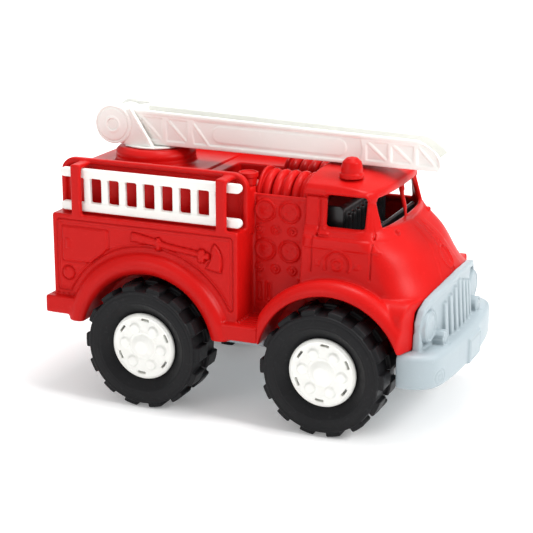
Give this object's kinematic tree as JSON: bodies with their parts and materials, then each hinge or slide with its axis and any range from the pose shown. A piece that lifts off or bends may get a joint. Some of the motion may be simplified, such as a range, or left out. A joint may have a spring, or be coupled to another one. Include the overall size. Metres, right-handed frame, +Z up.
{
  "type": "toy fire engine",
  "caption": "Moulded plastic toy fire engine with a hooded cab, a turning and tilting ladder boom, sliding side ladders and fat wheels on plain axles.",
  "frame": {"origin": "on the ground under the middle of the truck's length and width", "axes": "+X towards the truck's front, +Y its left side, +Z up"},
  "size_m": [0.267, 0.159, 0.1793],
  "materials": {
    "red_plastic": "fine satin texture",
    "white_plastic": "fine satin texture",
    "grey_plastic": "fine satin texture",
    "tyre_black": "matt black moulded plastic",
    "black_plastic": "satin black",
    "steel_screw": "plain zinc"
  },
  "bodies": {
    "truck": {"chassis": "grey_plastic", "chassis_screws": "steel_screw", "rear_body": "red_plastic", "cab_shell": "red_plastic", "cab_roof": "red_plastic", "cab_seat": "black_plastic", "dashboard": "black_plastic", "grille_bumper": "grey_plastic", "beacon_light": "red_plastic", "deck_cap": "red_plastic", "right_hose_reel": "red_plastic", "left_hose_reel": "red_plastic"},
    "front_wheels": {"front_axle": "grey_plastic", "front_right_tyre": "tyre_black", "front_right_rim": "white_plastic", "front_left_tyre": "tyre_black", "front_left_rim": "white_plastic"},
    "rear_wheels": {"rear_axle": "grey_plastic", "rear_right_tyre": "tyre_black", "rear_right_rim": "white_plastic", "rear_left_tyre": "tyre_black", "rear_left_rim": "white_plastic"},
    "turret": {"turntable": "white_plastic", "turntable_retainer": "white_plastic", "turntable_screw": "steel_screw", "boom_pivot_pin": "white_plastic"},
    "boom": {"boom_ladder": "white_plastic"},
    "right_ladder": {"right_side_ladder": "white_plastic"},
    "left_ladder": {"left_side_ladder": "white_plastic"}
  },
  "joints": [
    {"name": "front_wheels_roll", "type": "hinge", "parent": "truck", "child": "front_wheels", "pos_m": [0.06, 0, 0.0398], "axis": [0, 1, 0], "continuous": true},
    {"name": "rear_wheels_roll", "type": "hinge", "parent": "truck", "child": "rear_wheels", "pos_m": [-0.06, 0, 0.0398], "axis": [0, 1, 0], "continuous": true},
    {"name": "turntable_turn", "type": "hinge", "parent": "truck", "child": "turret", "pos_m": [-0.0876, 0, 0.153], "axis": [0, 0, 1], "range_deg": [-3, 338]},
    {"name": "boom_lift", "type": "hinge", "parent": "turret", "child": "boom", "pos_m": [-0.111, 0, 0.1666], "axis": [0, -1, 0], "range_deg": [0, 75]},
    {"name": "right_ladder_slide", "type": "slide", "parent": "truck", "child": "right_ladder", "axis": [-1, 0, 0], "range_m": [0, 0.126]},
    {"name": "left_ladder_slide", "type": "slide", "parent": "truck", "child": "left_ladder", "axis": [-1, 0, 0], "range_m": [0, 0.126]}
  ]
}
